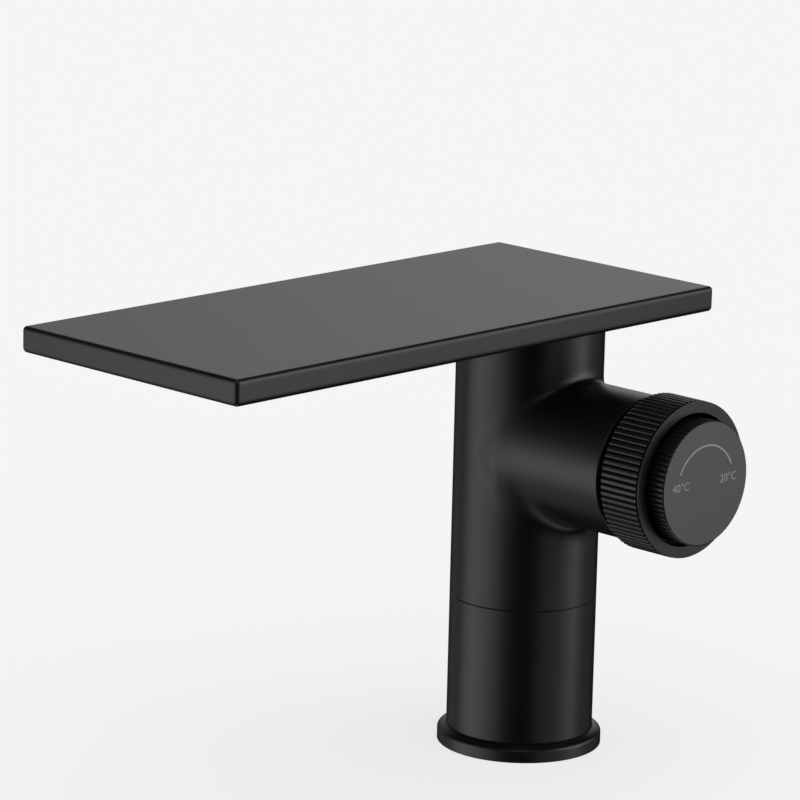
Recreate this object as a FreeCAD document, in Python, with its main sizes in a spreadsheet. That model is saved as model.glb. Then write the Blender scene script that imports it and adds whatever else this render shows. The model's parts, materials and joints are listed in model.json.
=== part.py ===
import FreeCAD, Part
import Sketcher
import math
import os
import re

# Basin mixer: a column with a flat spout plate and two concentric controls.
# Millimetres. Z is up from the deck, the spout points to -Y, the controls to +X.

doc = FreeCAD.newDocument("BasinMixer")
sheet = doc.addObject("Spreadsheet::Sheet", "Dims")

SIZES = {
    # Clearances and cutting allowance
    "fit_clearance": 0.1,
    "running_clearance": 0.2,
    "running_gap": 0.3,
    "film_gap": 0.05,
    "cut_overrun": 1.0,
    # Column
    "column_diameter": 45.0,
    "body_wall": 2.4,
    "top_wall": 5.0,
    "seam_height": 47.0,
    "seam_chamfer": 0.2,
    "spigot_length": 8.0,
    "spigot_step": 4.0,
    # Base
    "flange_lip": 2.75,
    "flange_height": 5.4,
    "flange_round": 1.8,
    "flange_seat_depth": 3.4,
    "flange_ledge": 2.0,
    "gasket_inset": 1.4,
    "gasket_width": 3.0,
    "gasket_height": 1.2,
    # Inlet block
    "block_height": 18.0,
    "inlet_radius": 4.5,
    "inlet_depth": 8.0,
    "stud_radius": 3.4,
    "stud_depth": 12.0,
    "stud_offset": 11.5,
    "check_valve_wall": 1.0,
    "check_valve_seat": 1.2,
    # Tubes and seals
    "tube_radius": 4.0,
    "tube_wall": 1.0,
    "tube_bend": 9.0,
    "socket_depth": 4.0,
    "seal_section": 1.5,
    "seal_squeeze": 0.02,
    # Side branch
    "branch_height": 95.2,
    "branch_inset": 0.6,
    "branch_wall": 2.4,
    "branch_chamfer": 0.3,
    "junction_fillet": 3.0,
    # Valve inside the branch
    "seat_setback": 0.5,
    "seat_thickness": 7.0,
    "outlet_annulus": 4.0,
    "outlet_slot_overlap": 0.5,
    "outlet_slot_width": 10.0,
    "housing_wall": 1.8,
    "port_circle_share": 0.62,
    "port_radius": 3.0,
    "port_seal_wall": 1.4,
    "port_seal_depth": 0.8,
    "port_seal_proud": 0.6,
    "disc_thickness": 3.0,
    "kidney_half_width": 2.6,
    "kidney_angle": 180.0,
    "tongue_length": 8.0,
    "tongue_width": 3.0,
    "tongue_depth": 1.6,
    "driver_radius": 5.0,
    "driver_thickness": 1.8,
    "chamber_length": 4.6,
    "drum_skirt": 1.6,
    "drum_wall": 2.0,
    "window_width": 15.0,
    "window_margin": 0.8,
    "neck_wall": 3.2,
    "spindle_diameter": 8.0,
    "collar_thickness": 2.8,
    "nut_thread_length": 3.8,
    "nut_head_length": 4.2,
    "nut_bore_gap": 2.5,
    "nut_slot_width": 4.0,
    "nut_slot_depth": 2.0,
    "washer_thickness": 0.9,
    "washer_inset": 1.2,
    "spline_count": 24,
    "spline_depth": 0.4,
    "spline_land_share": 0.5,
    # Flow ring
    "ring_gap": 0.4,
    "ring_lip": 1.7,
    "ring_chamfer": 0.55,
    "ring_relief_length": 2.7,
    "ring_relief_step": 2.6,
    "ring_relief_wall": 1.6,
    "ring_web": 4.0,
    "ring_recess": 8.2,
    "ring_rim": 3.6,
    "ring_flute_count": 76,
    "ring_flute_depth": 0.6,
    "flute_land_share": 0.64,
    "clip_thickness": 1.0,
    "clip_groove_depth": 0.8,
    "clip_height": 1.8,
    "clip_angle": 300.0,
    "neck_tail": 1.0,
    # Temperature knob
    "knob_side_gap": 1.2,
    "knob_back_gap": 0.6,
    "knob_stand": 5.6,
    "knob_chamfer": 0.3,
    "knob_wall": 4.0,
    "knob_face": 5.2,
    "knob_skin": 1.4,
    "boss_wall": 3.0,
    "knob_flute_count": 72,
    "knob_flute_depth": 0.5,
    "grub_radius": 1.5,
    "grub_length": 8.0,
    "grub_socket_share": 0.55,
    "dial_radius": 11.2,
    "dial_width": 0.75,
    "dial_depth": 0.25,
    "dial_angle": 140.0,
    # Spout plate
    "plate_width": 88.8,
    "plate_reach": 164.2,
    "plate_rear": 32.2,
    "plate_thickness": 7.7,
    "plate_corner_radius": 1.7,
    "plate_edge_radius": 1.4,
    "plate_rim": 3.0,
    "plate_ledge": 1.5,
    "plate_skin": 2.2,
    "floor_thickness": 2.0,
    "floor_gasket_height": 0.5,
    "slit_length": 62.0,
    "slit_width": 3.0,
    "slit_setback": 7.0,
    "boss_radius": 3.2,
    "boss_inset": 9.0,
    "boss_front_inset": 24.0,
    "screw_radius": 1.5,
    "screw_head_radius": 2.8,
    "screw_head_height": 1.3,
    "screw_length": 4.8,
    "screw_socket_share": 0.36,
    "nipple_wall": 2.8,
    "nipple_flange": 3.0,
    "nipple_flange_height": 1.5,
    "outlet_run": 4.0,
    "nipple_socket": 6.0,
    "nut_height": 5.0,
    "nut_wall": 4.0,
    "spout_seal_gap": 1.6,
    "pin_radius": 1.2,
    "pin_circle": 15.5,
    "pin_depth": 3.0,
    "pin_floor_depth": 1.2,
}

for row, (size_name, number) in enumerate(SIZES.items(), start=1):
    sheet.set(f"A{row}", size_name)
    sheet.set(f"B{row}", str(number))
    sheet.setAlias(f"B{row}", size_name)
doc.recompute()

# Named sums of the sheet's sizes. Radii are from the piece's own axis, stations
# run along the branch from the column's axis, heights are above the deck.
SUMS = {
    "column_radius": "column_diameter / 2",
    "column_bore": "column_radius - body_wall",
    "spigot_radius": "column_bore - fit_clearance",
    "spigot_bore": "spigot_radius - body_wall",
    "spigot_end": "seam_height - spigot_length",
    "flange_radius": "column_radius + flange_lip",
    "flange_floor": "flange_height - flange_seat_depth",
    "flange_bore": "column_bore - flange_ledge",
    "gasket_outer": "flange_radius - gasket_inset",
    "gasket_inner": "gasket_outer - gasket_width",
    "seal_groove": "seal_section + 2 * fit_clearance",
    "seal_half": "seal_section / 2 - seal_squeeze",
    "seal_depth": "seal_section - running_clearance",
    "seal_mouth": "tube_radius + fit_clearance + seal_section",
    "tube_seal_radius": "tube_radius + fit_clearance + seal_section / 2",
    "socket_radius": "tube_radius + fit_clearance",
    "block_radius": "column_bore - fit_clearance",
    "block_socket": "block_height - socket_depth",
    "check_valve_radius": "tube_radius",
    "branch_radius": "column_radius - branch_inset",
    "branch_bore": "branch_radius - branch_wall",
    "seat_radius": "branch_bore - film_gap",
    "seat_back": "column_bore + seat_setback",
    "seat_front": "seat_back + seat_thickness",
    "seat_socket": "seat_back + socket_depth",
    "housing_radius": "branch_bore - outlet_annulus",
    "housing_bore": "housing_radius - housing_wall",
    "outlet_circle": "seat_radius - socket_radius - seal_section - film_gap",
    "outlet_height": "branch_height + outlet_circle",
    "disc_radius": "housing_bore - fit_clearance",
    "port_circle": "disc_radius * port_circle_share",
    "port_seal_radius": "port_radius + port_seal_wall",
    "disc_back": "seat_front + port_seal_proud",
    "fixed_disc_front": "disc_back + disc_thickness",
    "mixing_disc_back": "fixed_disc_front + film_gap",
    "mixing_disc_front": "mixing_disc_back + disc_thickness",
    "driver_back": "mixing_disc_front + film_gap",
    "driver_front": "driver_back + driver_thickness",
    "drum_back": "mixing_disc_front + running_gap",
    "drum_radius": "housing_bore - running_clearance",
    "drum_bore": "drum_radius - drum_skirt",
    "drum_ceiling": "drum_back + chamber_length",
    "drum_front": "drum_ceiling + drum_wall",
    "window_back": "drum_back + window_margin",
    "window_length": "chamber_length - 2 * window_margin",
    "spindle_radius": "spindle_diameter / 2",
    "spindle_root": "spindle_radius - spline_depth - film_gap",
    "spindle_bore": "spindle_radius + running_clearance",
    "neck_radius": "spindle_bore + neck_wall",
    "neck_root": "neck_radius - spline_depth - film_gap",
    "collar_back": "drum_front + running_gap",
    "collar_front": "collar_back + collar_thickness",
    "collar_middle": "collar_back + collar_thickness / 2",
    "collar_radius": "branch_bore - fit_clearance",
    "collar_bore": "neck_radius + running_clearance",
    "branch_end": "collar_front + nut_thread_length",
    "nut_bore": "neck_radius + nut_bore_gap",
    "nut_head_front": "branch_end + nut_head_length",
    "washer_front": "nut_head_front + washer_thickness",
    "ring_radius": "branch_radius + ring_lip",
    "ring_back": "branch_end + ring_gap",
    "relief_front": "ring_back + ring_relief_length",
    "relief_radius": "branch_radius - ring_relief_step",
    "relief_bore": "relief_radius - ring_relief_wall",
    "nut_head_radius": "relief_bore - running_gap",
    "web_back": "washer_front + running_gap",
    "web_front": "web_back + ring_web",
    "ring_front": "web_front + ring_recess",
    "recess_radius": "ring_radius - ring_rim",
    "clip_back": "web_front + film_gap",
    "clip_front": "clip_back + clip_thickness",
    "clip_radius": "neck_root - clip_groove_depth",
    "neck_end": "clip_front + neck_tail",
    "knob_radius": "recess_radius - knob_side_gap",
    "knob_back": "web_front + knob_back_gap",
    "knob_front": "ring_front + knob_stand",
    "knob_ceiling": "knob_front - knob_face",
    "knob_cavity": "knob_radius - knob_wall",
    "boss_back": "neck_end + running_gap",
    "knob_boss_radius": "spindle_radius + boss_wall",
    "spindle_end": "knob_front - knob_skin",
    "spindle_seal_station": "collar_front + nut_thread_length / 2",
    "grub_station": "knob_front - knob_face / 2",
    "grub_start": "spindle_radius + film_gap",
    "dial_inner": "dial_radius - dial_width / 2",
    "dial_outer": "dial_radius + dial_width / 2",
    "plate_half": "plate_width / 2",
    "floor_top": "floor_thickness + floor_gasket_height",
    "chamber_top": "plate_thickness - plate_skin",
    "nipple_radius": "socket_radius + nipple_wall",
    "nipple_bottom": "outlet_height + tube_bend + outlet_run",
    "column_ceiling": "nipple_bottom + nipple_socket + nut_height",
    "column_top": "column_ceiling + top_wall",
    "floor_level": "column_top + floor_thickness",
    "spout_seal_inner": "nipple_radius + spout_seal_gap",
    "spout_seal_outer": "spout_seal_inner + seal_section",
    "slit_front": "plate_reach - plate_rim - slit_setback",
    "boss_side": "plate_half - boss_inset",
    "boss_front": "boss_front_inset - plate_reach",
    "boss_rear": "plate_rear - boss_inset",
}

WORD = re.compile(r"[a-z_]+")
QUARTER_TURN = 90
FULL_TURN = 360


def expand(formula):
    """Write a formula with the sheet's own cells, its named sums in brackets."""

    def swap(match):
        word = match.group(0)
        if word in SUMS:
            return "(" + expand(SUMS[word]) + ")"
        return "Dims." + word

    return WORD.sub(swap, formula)


def measure(formula):
    """The number that a formula gives with the sheet's present sizes."""
    return float(sheet.evalExpression(expand(formula)))


def bind(thing, **formulas):
    """Tie properties of a thing to formulas."""
    for property_name, formula in formulas.items():
        thing.setExpression(property_name, expand(formula))


def shift(thing, x="0", y="0", z="0"):
    """Tie the place of a thing to three formulas."""
    for axis, formula in zip("xyz", (x, y, z)):
        if formula != "0":
            thing.setExpression("Placement.Base." + axis, expand(formula))


def turn(thing, axis, angle):
    """Turn a thing about an axis through its own origin."""
    thing.Placement = FreeCAD.Placement(FreeCAD.Vector(), FreeCAD.Rotation(axis, angle))


def along_branch(thing):
    """Lay a piece that was built along Z on the axis of the side branch."""
    turn(thing, FreeCAD.Vector(0, 1, 0), QUARTER_TURN)
    shift(thing, z="branch_height")
    return thing


# Sketches and bodies

def sketch_on(body, name, role, height="0"):
    """An empty sketch on one of the body's own planes, raised by a formula."""
    sketch = body.newObject("Sketcher::SketchObject", name)
    plane = [feature for feature in body.Origin.OriginFeatures if feature.Role == role][0]
    sketch.AttachmentSupport = [(plane, "")]
    sketch.MapMode = "FlatFace"
    if height != "0":
        sketch.setExpression("AttachmentOffset.Base.z", expand(height))
    return sketch


def hold(sketch, kind, formula, *places):
    """Add a dimension between places of a sketch and tie it to a formula."""
    index = sketch.addConstraint(Sketcher.Constraint(kind, *places, measure(formula)))
    sketch.setExpression(f"Constraints[{index}]", expand(formula))


def pin(sketch, line, point, u, v):
    """Hold one point of a sketch line at two formulas from the sketch's origin."""
    for kind, formula, axis in (("DistanceX", u, -2), ("DistanceY", v, -1)):
        if formula == "0":
            sketch.addConstraint(Sketcher.Constraint("PointOnObject", line, point, axis))
        else:
            hold(sketch, kind, formula, -1, 1, line, point)


def spot(u, v):
    """A sketch point from two formulas."""
    return FreeCAD.Vector(measure(u), measure(v), 0)


def outline(sketch, points):
    """A closed run of straight lines through points given as pairs of formulas."""
    places = [spot(u, v) for u, v in points]
    first = sketch.GeometryCount
    count = len(places)
    for index in range(count):
        sketch.addGeometry(Part.LineSegment(places[index], places[(index + 1) % count]))
    for index, (u, v) in enumerate(points):
        following = first + (index + 1) % count
        sketch.addConstraint(Sketcher.Constraint("Coincident", first + index, 2, following, 1))
        pin(sketch, first + index, 1, u, v)


def rectangle(sketch, left, right, low, high):
    """A rectangle between four formulas."""
    outline(sketch, [(left, low), (right, low), (right, high), (left, high)])


def circle(sketch, radius, u="0", v="0"):
    """A circle with its radius and centre tied to formulas."""
    index = sketch.addGeometry(Part.Circle(spot(u, v), FreeCAD.Vector(0, 0, 1), measure(radius)))
    pin(sketch, index, 3, u, v)
    hold(sketch, "Radius", radius, index)


def spin(body, kind, sketch, angle=FULL_TURN):
    """Turn a sketch about its upright axis, to add or to take away."""
    step = body.newObject("PartDesign::" + kind, sketch.Name + "_turned")
    step.Profile = sketch
    step.ReferenceAxis = (sketch, ["V_Axis"])
    step.Midplane = angle != FULL_TURN
    if angle == FULL_TURN:
        step.Angle = angle
    else:
        bind(step, Angle=angle)
    return step


def extrude(body, kind, sketch, length, reverse=False):
    """Push a sketch straight out, to add or to take away."""
    step = body.newObject("PartDesign::" + kind, sketch.Name + "_extruded")
    step.Profile = sketch
    step.Reversed = reverse
    bind(step, Length=length)
    return step


def dress(body, kind, edges, size):
    """Round or bevel the edges of the body's last feature that pass a test."""
    doc.recompute()
    base = body.Tip
    numbered = enumerate(base.Shape.Edges, start=1)
    names = [f"Edge{number}" for number, edge in numbered if edges(edge)]
    step = body.newObject("PartDesign::" + kind, f"{body.Name}_{kind.lower()}")
    step.Base = (base, names)
    bind(step, **{"Radius" if kind == "Fillet" else "Size": size})
    doc.recompute()


def round_edge_at(place, axis, radius):
    """A test for the round edges that lie at one place along an axis."""
    level = measure(place)
    wanted = measure(radius)

    def passes(edge):
        if edge.Curve.TypeId != "Part::GeomCircle":
            return False
        centre = edge.Curve.Center
        slack = measure("film_gap")
        return abs(centre[axis] - level) < slack and abs(edge.Curve.Radius - wanted) < slack

    return passes


def turned(label, points, angle=FULL_TURN):
    """A body turned about Z from an outline of radius and height formulas."""
    body = doc.addObject("PartDesign::Body", label)
    sketch = sketch_on(body, label + "_profile", "XZ_Plane")
    outline(sketch, points)
    spin(body, "Revolution", sketch, angle)
    return body


def tube_section(inner, outer, low, high):
    """The outline of a plain ring."""
    return [(inner, low), (outer, low), (outer, high), (inner, high)]


def groove_points(radius, bottom, middle, width):
    """Outline points of a square groove in a round side, run from low to high."""
    low = f"{middle} - {width} / 2"
    high = f"{middle} + {width} / 2"
    return [(radius, low), (bottom, low), (bottom, high), (radius, high)]


# Plain solids and how they are joined

def rod(name, radius, length, x="0", y="0", z="0"):
    """A round bar standing along Z."""
    bar = doc.addObject("Part::Cylinder", name)
    bind(bar, Radius=radius, Height=length)
    shift(bar, x, y, z)
    return bar


def block(name, x, y, z, length, width, height):
    """A block from its low corner and its three sizes."""
    box = doc.addObject("Part::Box", name)
    bind(box, Length=length, Width=width, Height=height)
    shift(box, x, y, z)
    return box


def hexagon(name, radius, height, x="0", y="0", z="0"):
    """A six-sided bar standing along Z."""
    bar = doc.addObject("Part::Prism", name)
    bar.Polygon = 6
    bind(bar, Circumradius=radius, Height=height)
    shift(bar, x, y, z)
    return bar


def seal_ring(name, radius, x="0", y="0", z="0", sideways=False):
    """A round-section seal ring about Z, or about X when it lies sideways."""
    ring = doc.addObject("Part::Torus", name)
    if sideways:
        turn(ring, FreeCAD.Vector(0, 1, 0), QUARTER_TURN)
    bind(ring, Radius1=radius, Radius2="seal_half")
    shift(ring, x, y, z)
    return ring


def group(label, things):
    """Several equal pieces kept as one node."""
    pieces = doc.addObject("Part::Compound", label)
    pieces.Links = things
    return pieces


def join(label, things):
    """Pieces made into one."""
    whole = doc.addObject("Part::MultiFuse", label)
    whole.Shapes = things
    return whole


def cut(label, base, tools):
    """A piece with everything in the tools taken out of it."""
    rest = doc.addObject("Part::Cut", label)
    rest.Base = base
    rest.Tool = tools[0] if len(tools) == 1 else join(label + "_tools", tools)
    return rest


def overlap(label, first, second):
    """What two shapes have in common."""
    shared = doc.addObject("Part::Common", label)
    shared.Base = first
    shared.Tool = second
    return shared


def fluted_bar(name, radius, depth, count, land_share, low, high, bore="0", spare="0"):
    """A bar with round-bottomed flutes along its side.

    Between two flutes a land stays on the full radius. A spare widens the bar
    evenly, so that it can cut a socket for an equal bar without spare.
    """
    reach = measure(radius) + measure(spare)
    valley = reach - measure(depth)
    turns = round(measure(count))
    pitch = 2 * math.pi / turns
    half_land = pitch * measure(land_share) / 2 + measure(spare) / reach
    start = measure(low)

    def point(distance, angle):
        return FreeCAD.Vector(distance * math.cos(angle), distance * math.sin(angle), start)

    edges = []
    for middle in (pitch * number for number in range(turns)):
        land = [point(reach, middle + side * half_land) for side in (-1, 0, 1)]
        bottom = point(valley, middle + pitch / 2)
        following = point(reach, middle + pitch - half_land)
        edges.append(Part.Arc(*land).toShape())
        edges.append(Part.Arc(land[-1], bottom, following).toShape())
    loops = [Part.Wire(edges)]
    if bore != "0":
        hole = Part.Circle(FreeCAD.Vector(0, 0, start), FreeCAD.Vector(0, 0, 1), measure(bore))
        loops.append(Part.Wire(hole.toShape()))
    bar = doc.addObject("Part::Feature", name)
    section = Part.makeFace(loops, "Part::FaceMakerBullseye")
    bar.Shape = section.extrude(FreeCAD.Vector(0, 0, measure(high) - start))
    return bar


nodes = []


def keep(thing):
    """Count a thing as one of the part's nodes."""
    nodes.append(thing)
    return thing


# Base: flange, gasket, lower sleeve and inlet block

base_flange = keep(turned("base_flange", [
    ("flange_bore", "0"),
    ("gasket_inner", "0"),
    ("gasket_inner", "gasket_height"),
    ("gasket_outer", "gasket_height"),
    ("gasket_outer", "0"),
    ("flange_radius", "0"),
    ("flange_radius", "flange_height"),
    ("column_radius + fit_clearance", "flange_height"),
    ("column_radius + fit_clearance", "flange_floor"),
    ("flange_bore", "flange_floor"),
]))
dress(base_flange, "Fillet", round_edge_at("flange_height", 2, "flange_radius"), "flange_round")

keep(turned("base_gasket", tube_section(
    "gasket_inner + film_gap", "gasket_outer - film_gap", "0", "gasket_height")))

keep(turned("lower_sleeve", [
    ("column_bore", "flange_floor"),
    ("column_radius", "flange_floor"),
    ("column_radius", "seam_height - seam_chamfer"),
    ("column_radius - seam_chamfer", "seam_height"),
    ("column_bore", "seam_height"),
]))

block_blank = turned("block_blank", [
    ("0", "0"),
    ("flange_bore - fit_clearance", "0"),
    ("flange_bore - fit_clearance", "flange_floor"),
    ("block_radius", "flange_floor"),
    ("block_radius", "block_height"),
    ("0", "block_height"),
])
block_tools = [rod("stud_hole", "stud_radius", "stud_depth + cut_overrun",
                   x="-stud_offset", z="-cut_overrun")]
for side, y in (("hot", "-port_circle"), ("cold", "port_circle")):
    block_tools += [
        rod(f"{side}_inlet", "inlet_radius", "inlet_depth + cut_overrun", y=y, z="-cut_overrun"),
        rod(f"{side}_way", "socket_radius", "block_height", y=y, z="inlet_depth"),
        rod(f"{side}_seal_seat", "seal_mouth", "block_height", y=y, z="block_height - seal_section"),
    ]
keep(cut("inlet_block", block_blank, block_tools))

check_valves = []
for side, y in (("hot", "-port_circle"), ("cold", "port_circle")):
    sleeve = turned(f"{side}_check_sleeve", [
        ("check_valve_radius - check_valve_wall", "inlet_depth"),
        ("check_valve_radius", "inlet_depth"),
        ("check_valve_radius", "block_socket"),
        ("check_valve_radius - check_valve_wall", "block_socket"),
        ("check_valve_radius - check_valve_wall", "inlet_depth + 2 * check_valve_seat"),
        ("check_valve_radius - 2 * check_valve_wall", "inlet_depth + check_valve_seat"),
    ])
    poppet = turned(f"{side}_check_poppet", [
        ("0", "inlet_depth + check_valve_seat"),
        ("check_valve_radius - 2 * check_valve_wall - film_gap", "inlet_depth + check_valve_seat"),
        ("check_valve_radius - check_valve_wall - film_gap", "inlet_depth + 2 * check_valve_seat"),
        ("0", "block_socket - check_valve_seat"),
    ])
    shift(sleeve, y=y)
    shift(poppet, y=y)
    check_valves += [sleeve, poppet]
keep(group("check_valves", check_valves))


# Tubes: two risers and the outlet tube

def bent_tube(label, start, corner, lean):
    """A tube down or up the column, bent once towards the valve seat.

    It runs from a start height to a corner height, and its bend lies on the
    side of the corner that the lean gives.
    """
    body = doc.addObject("PartDesign::Body", label)
    path = sketch_on(body, label + "_path", "XZ_Plane")
    bend = f"{corner} {lean} tube_bend"
    upright = path.addGeometry(Part.LineSegment(spot("0", start), spot("0", bend)))
    level = path.addGeometry(Part.LineSegment(spot("tube_bend", corner), spot("seat_socket", corner)))
    pin(path, upright, 1, "0", start)
    pin(path, upright, 2, "0", bend)
    pin(path, level, 1, "tube_bend", corner)
    pin(path, level, 2, "seat_socket", corner)
    first_angle = math.pi if lean == "+" else math.pi / 2
    begin, end = (1, 2) if lean == "+" else (2, 1)
    round_path = Part.Circle(spot("tube_bend", bend), FreeCAD.Vector(0, 0, 1), measure("tube_bend"))
    elbow = path.addGeometry(Part.ArcOfCircle(round_path, first_angle, first_angle + math.pi / 2))
    path.addConstraint(Sketcher.Constraint("Coincident", elbow, begin, upright, 2))
    path.addConstraint(Sketcher.Constraint("Coincident", elbow, end, level, 1))
    hold(path, "DistanceX", "tube_bend", -1, 1, elbow, 3)
    section = sketch_on(body, label + "_section", "XY_Plane", start)
    circle(section, "tube_radius")
    circle(section, "tube_radius - tube_wall")
    sweep = body.newObject("PartDesign::AdditivePipe", label + "_sweep")
    sweep.Profile = section
    sweep.Spine = (path, ["Edge1", "Edge3", "Edge2"])
    return body


for side, y in (("hot", "-port_circle"), ("cold", "port_circle")):
    riser = keep(bent_tube(f"{side}_riser", "block_socket", "branch_height", "-"))
    shift(riser, y=y)
keep(bent_tube("outlet_tube", "nipple_bottom + nipple_socket", "outlet_height", "+"))

keep(group("tube_seals", [
    seal_ring("hot_block_seal", "tube_seal_radius", y="-port_circle", z="block_height - seal_section / 2"),
    seal_ring("cold_block_seal", "tube_seal_radius", y="port_circle", z="block_height - seal_section / 2"),
    seal_ring("hot_seat_seal", "tube_seal_radius", "seat_back + seal_section / 2", "-port_circle",
              "branch_height", sideways=True),
    seal_ring("cold_seat_seal", "tube_seal_radius", "seat_back + seal_section / 2", "port_circle",
              "branch_height", sideways=True),
    seal_ring("outlet_seat_seal", "tube_seal_radius", "seat_back + seal_section / 2", "0",
              "outlet_height", sideways=True),
]))


# Upper body: column with the side branch

upper_body = keep(doc.addObject("PartDesign::Body", "upper_body"))
column_ring = sketch_on(upper_body, "column_ring", "XY_Plane", "seam_height")
circle(column_ring, "column_radius")
extrude(upper_body, "Pad", column_ring, "column_top - seam_height")
branch_ring = sketch_on(upper_body, "branch_ring", "YZ_Plane")
circle(branch_ring, "branch_radius", "0", "branch_height")
extrude(upper_body, "Pad", branch_ring, "branch_end")
dress(upper_body, "Fillet", lambda edge: edge.Curve.TypeId == "Part::GeomBSplineCurve", "junction_fillet")
dress(upper_body, "Chamfer", round_edge_at("branch_end", 0, "branch_radius"), "branch_chamfer")
dress(upper_body, "Chamfer", round_edge_at("seam_height", 2, "column_radius"), "seam_chamfer")
spigot_ring = sketch_on(upper_body, "spigot_ring", "XY_Plane", "spigot_end")
circle(spigot_ring, "spigot_radius")
extrude(upper_body, "Pad", spigot_ring, "spigot_length + seam_chamfer")
column_hollow = sketch_on(upper_body, "column_hollow", "XZ_Plane")
outline(column_hollow, [
    ("0", "spigot_end - cut_overrun"),
    ("spigot_bore", "spigot_end - cut_overrun"),
    ("spigot_bore", "seam_height + spigot_step"),
    ("column_bore", "seam_height + spigot_step"),
    ("column_bore", "column_ceiling"),
    ("nipple_radius + fit_clearance", "column_ceiling"),
    ("nipple_radius + fit_clearance", "column_top + cut_overrun"),
    ("0", "column_top + cut_overrun"),
])
spin(upper_body, "Groove", column_hollow)
branch_hollow = sketch_on(upper_body, "branch_hollow", "YZ_Plane")
circle(branch_hollow, "branch_bore", "0", "branch_height")
extrude(upper_body, "Pocket", branch_hollow, "branch_end + cut_overrun", reverse=True)
seal_grooves = sketch_on(upper_body, "seal_grooves", "XZ_Plane")
rectangle(seal_grooves, "spigot_radius - seal_depth", "spigot_radius + fit_clearance / 2",
          "spigot_end + seal_groove", "spigot_end + 2 * seal_groove")
rectangle(seal_grooves, "spout_seal_inner", "spout_seal_outer + 2 * fit_clearance",
          "column_top - seal_section", "column_top + cut_overrun")
spin(upper_body, "Groove", seal_grooves)
pin_hole = sketch_on(upper_body, "pin_hole", "XY_Plane", "column_top")
circle(pin_hole, "pin_radius + film_gap", "0", "pin_circle")
extrude(upper_body, "Pocket", pin_hole, "pin_depth")

seam_seal = keep(doc.addObject("Part::Torus", "seam_seal"))
bind(seam_seal, Radius1="(spigot_radius - seal_depth + column_bore) / 2",
     Radius2="(column_bore - spigot_radius + seal_depth) / 2 - seal_squeeze")
shift(seam_seal, z="spigot_end + seal_groove + seal_groove / 2")


# Valve inside the branch, built along Z and then laid on the branch's axis.
# In that pose -X of a piece ends up on top.

seat_blank = rod("seat_blank", "seat_radius", "seat_thickness", z="seat_back")
seat_tools = [
    rod("outlet_socket", "socket_radius", "socket_depth + cut_overrun",
        "-outlet_circle", "0", "seat_back - cut_overrun"),
    rod("outlet_seal_seat", "seal_mouth", "seal_section + cut_overrun",
        "-outlet_circle", "0", "seat_back - cut_overrun"),
    block("outlet_slot", "-housing_radius - outlet_annulus + housing_wall", "-outlet_slot_width / 2",
          "seat_socket - outlet_slot_overlap",
          "outlet_annulus - housing_wall", "outlet_slot_width", "seat_thickness"),
]
for side, y in (("hot", "-port_circle"), ("cold", "port_circle")):
    seat_tools += [
        rod(f"{side}_seat_socket", "socket_radius", "socket_depth + cut_overrun",
            "0", y, "seat_back - cut_overrun"),
        rod(f"{side}_seat_mouth", "seal_mouth", "seal_section + cut_overrun",
            "0", y, "seat_back - cut_overrun"),
        rod(f"{side}_seat_port", "port_radius", "seat_thickness + cut_overrun", "0", y, "seat_back"),
        rod(f"{side}_port_seat", "port_seal_radius", "seat_thickness",
            "0", y, "seat_front - port_seal_depth"),
    ]
keep(along_branch(cut("valve_seat", seat_blank, seat_tools)))

port_seals = []
for side, y in (("hot", "-port_circle"), ("cold", "port_circle")):
    ring = turned(f"{side}_port_seal", tube_section(
        "port_radius", "port_seal_radius - film_gap",
        "seat_front - port_seal_depth", "disc_back"))
    shift(ring, y=y)
    port_seals.append(ring)
keep(along_branch(group("port_seals", port_seals)))

fixed_disc_blank = rod("fixed_disc_blank", "disc_radius", "disc_thickness", z="disc_back")
fixed_disc_ports = [
    rod(f"{side}_disc_port", "port_radius", "disc_thickness + 2 * cut_overrun",
        "0", y, "disc_back - cut_overrun")
    for side, y in (("hot", "-port_circle"), ("cold", "port_circle"))
]
keep(along_branch(cut("fixed_disc", fixed_disc_blank, fixed_disc_ports)))

mixing_blank = rod("mixing_blank", "disc_radius - running_clearance", "disc_thickness",
                   z="mixing_disc_back")
kidney = turned("kidney", tube_section(
    "-port_circle - kidney_half_width", "-port_circle + kidney_half_width",
    "mixing_disc_back - cut_overrun", "mixing_disc_front + cut_overrun"), "kidney_angle")
tongue_slot = block("tongue_slot", "-tongue_width / 2 - film_gap", "-tongue_length / 2 - film_gap",
                    "driver_back - tongue_depth - film_gap", "tongue_width + 2 * film_gap",
                    "tongue_length + 2 * film_gap", "disc_thickness")
keep(along_branch(cut("mixing_disc", mixing_blank, [kidney, tongue_slot])))

spindle_core = turned("spindle_core", [
    ("0", "driver_back"),
    ("driver_radius", "driver_back"),
    ("driver_radius", "driver_front"),
    ("spindle_radius", "driver_front"),
    *groove_points("spindle_radius", "spindle_radius - seal_depth", "spindle_seal_station", "seal_groove"),
    ("spindle_radius", "boss_back"),
    ("spindle_root", "boss_back"),
    ("spindle_root", "spindle_end"),
    ("0", "spindle_end"),
])
spindle_tongue = block("spindle_tongue", "-tongue_width / 2", "-tongue_length / 2",
                       "driver_back - tongue_depth", "tongue_width", "tongue_length",
                       "tongue_depth + driver_thickness / 2")
spindle_spline = fluted_bar("spindle_spline", "spindle_radius", "spline_depth", "spline_count",
                            "spline_land_share", "boss_back", "spindle_end")
keep(along_branch(join("temperature_spindle", [spindle_core, spindle_tongue, spindle_spline])))


def gland_ring(label, bottom, bore, station):
    """A seal ring that fills the groove between a shaft and its bore."""
    ring = doc.addObject("Part::Torus", label)
    turn(ring, FreeCAD.Vector(0, 1, 0), QUARTER_TURN)
    bind(ring, Radius1=f"({bottom} + {bore}) / 2", Radius2=f"({bore} - ({bottom})) / 2 - seal_squeeze")
    shift(ring, station, "0", "branch_height")
    return ring


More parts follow.
